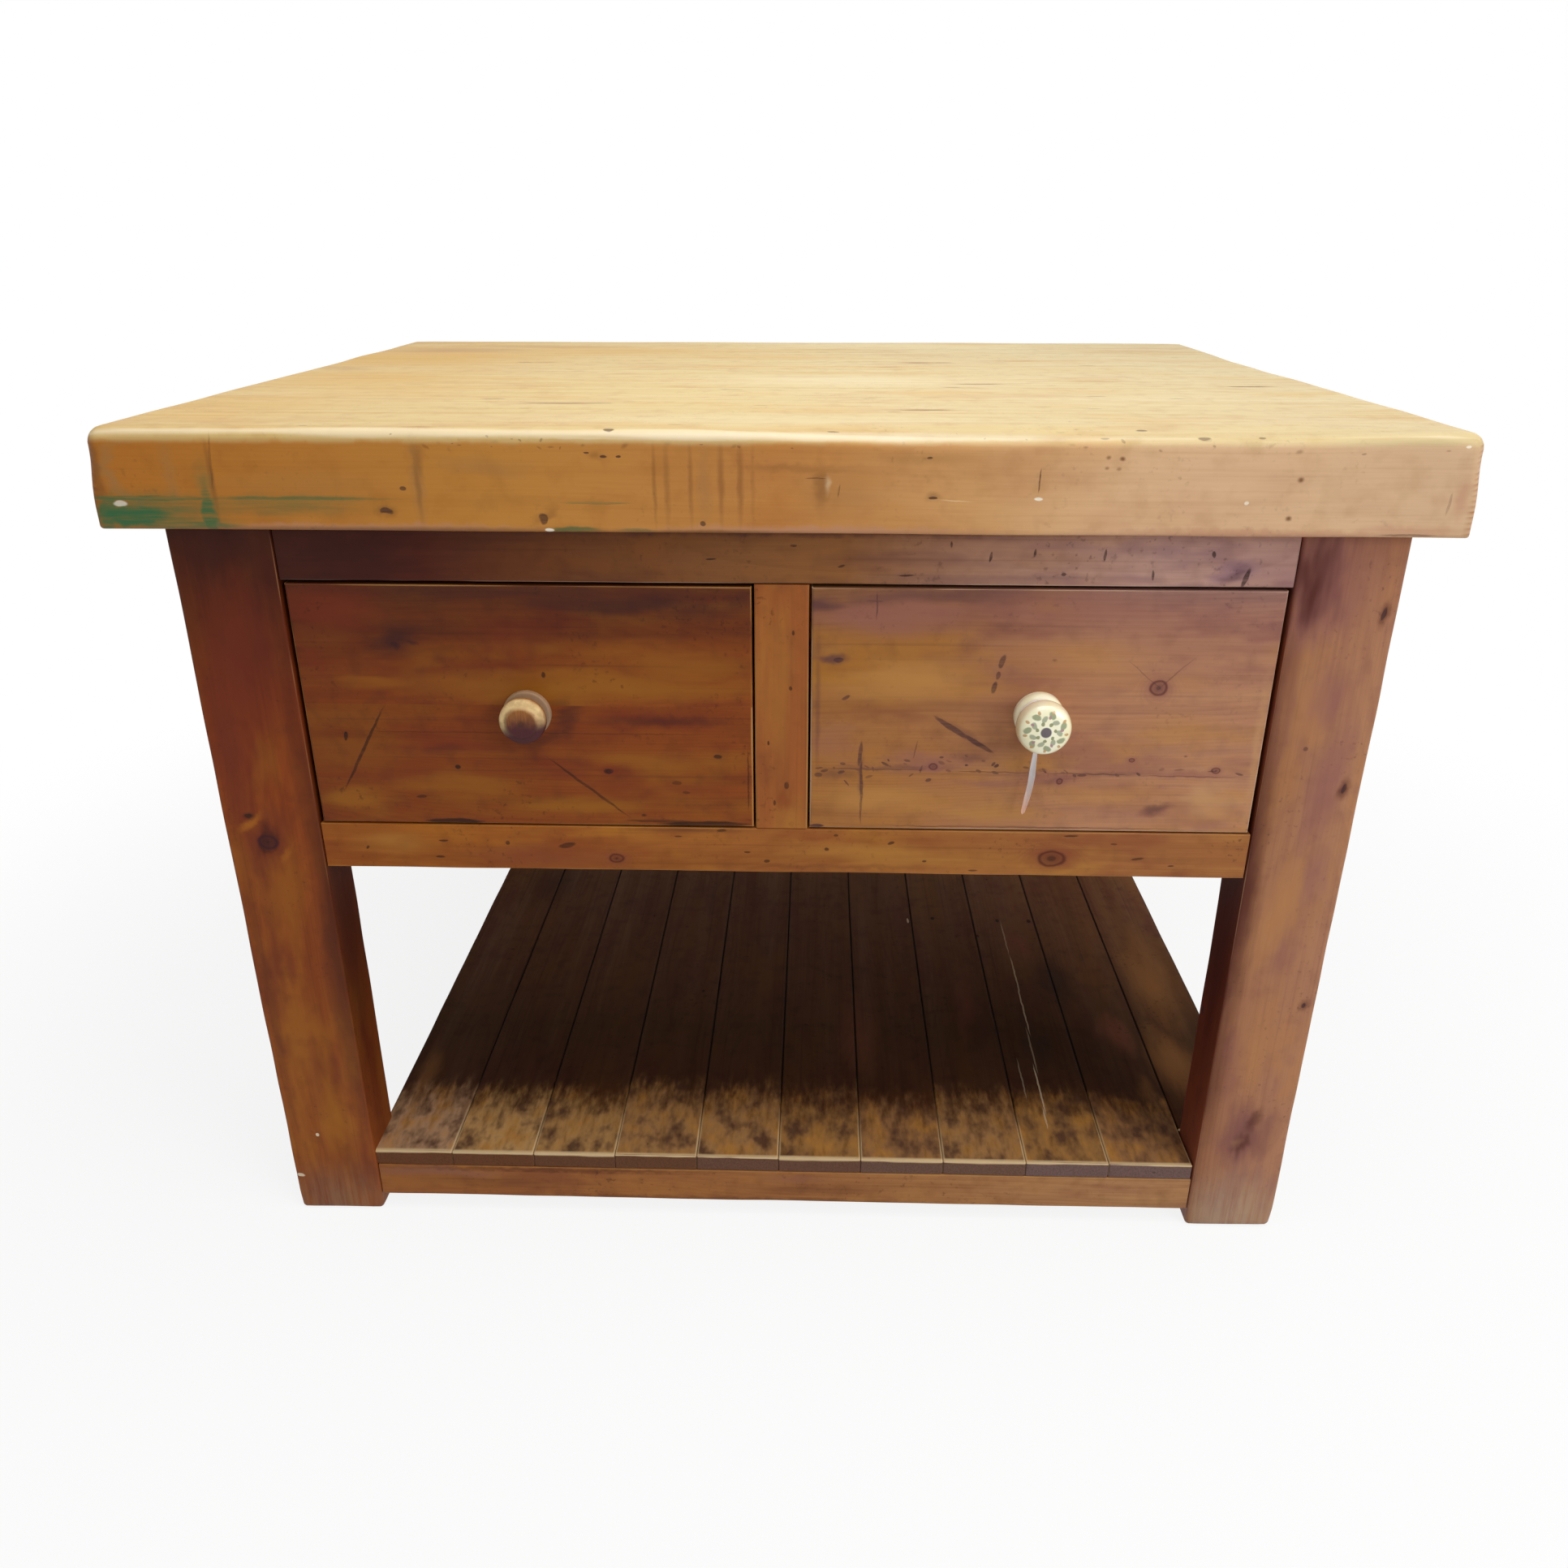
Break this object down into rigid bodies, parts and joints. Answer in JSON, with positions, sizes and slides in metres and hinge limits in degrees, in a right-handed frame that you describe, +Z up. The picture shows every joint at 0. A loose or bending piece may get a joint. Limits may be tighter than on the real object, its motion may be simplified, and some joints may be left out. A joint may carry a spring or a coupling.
{
  "type": "kitchen table with drawers",
  "caption": "Free-standing kitchen work table with a thick boarded top, sliding drawers with round knobs and a low boarded shelf between the legs.",
  "frame": {"origin": "on the floor, under the middle of the table's box (the worktop and the closed drawers' knobs)", "axes": "+X to the right of a person who faces the drawers, +Y from the drawer fronts to the back, +Z up"},
  "size_m": [1.23, 1.004, 0.9],
  "materials": {
    "bare_pine": "pale, scrubbed, satin",
    "waxed_pine": "dark wax, worn, satin",
    "stained_pine": "dark stain, worn, matt",
    "inner_pine": "bare planed wood, matt",
    "drawer_pine": "waxed, worn, satin",
    "turned_wood": "turned, waxed, worn",
    "glazed_ceramic": "opaque cream glaze with a small painted wreath",
    "steel": "dull zinc plate",
    "tape": "narrow cotton tape"
  },
  "bodies": {
    "table": {"worktop_board_1": "bare_pine", "worktop_board_2": "bare_pine", "worktop_board_3": "bare_pine", "worktop_board_4": "bare_pine", "worktop_board_5": "bare_pine", "front_left_leg": "waxed_pine", "front_right_leg": "waxed_pine", "back_left_leg": "waxed_pine", "back_right_leg": "waxed_pine", "front_top_rail": "waxed_pine", "front_bottom_rail": "waxed_pine", "centre_stile": "waxed_pine", "left_side_panel": "waxed_pine", "right_side_panel": "waxed_pine", "back_panel": "waxed_pine", "lower_front_rail": "waxed_pine", "lower_back_rail": "waxed_pine", "lower_outer_rail": "waxed_pine", "shelf_board_01": "stained_pine", "shelf_board_02": "stained_pine", "shelf_board_03": "stained_pine", "shelf_board_04": "stained_pine", "shelf_board_05": "stained_pine", "shelf_board_06": "stained_pine", "shelf_board_07": "stained_pine", "shelf_board_08": "stained_pine", "shelf_board_09": "stained_pine", "shelf_board_10": "stained_pine", "shelf_board_11": "stained_pine", "lower_left_bearer": "inner_pine", "lower_centre_bearer": "inner_pine", "lower_right_bearer": "inner_pine", "left_runner": "inner_pine", "centre_runner": "inner_pine", "right_runner": "inner_pine", "left_guide": "inner_pine", "centre_guide": "inner_pine", "right_guide": "inner_pine", "left_kicker": "inner_pine", "centre_kicker": "inner_pine", "right_kicker": "inner_pine", "drawer_stops": "inner_pine", "worktop_buttons": "inner_pine", "worktop_button_screws": "steel"},
    "left_drawer": {"left_drawer_front": "drawer_pine", "left_drawer_left_side": "inner_pine", "left_drawer_right_side": "inner_pine", "left_drawer_back": "inner_pine", "left_drawer_bottom": "inner_pine", "wooden_knob": "turned_wood"},
    "right_drawer": {"right_drawer_front": "drawer_pine", "right_drawer_left_side": "inner_pine", "right_drawer_right_side": "inner_pine", "right_drawer_back": "inner_pine", "right_drawer_bottom": "inner_pine", "ceramic_knob": "glazed_ceramic", "ceramic_knob_screw": "steel", "ceramic_knob_washer": "steel", "knob_tape_loop": "tape", "knob_tape_tail": "tape"}
  },
  "joints": [
    {"name": "left_drawer_slide", "type": "slide", "parent": "table", "child": "left_drawer", "axis": [0, -1, 0], "range_m": [0, 0.4]},
    {"name": "right_drawer_slide", "type": "slide", "parent": "table", "child": "right_drawer", "axis": [0, -1, 0], "range_m": [0, 0.4]}
  ]
}
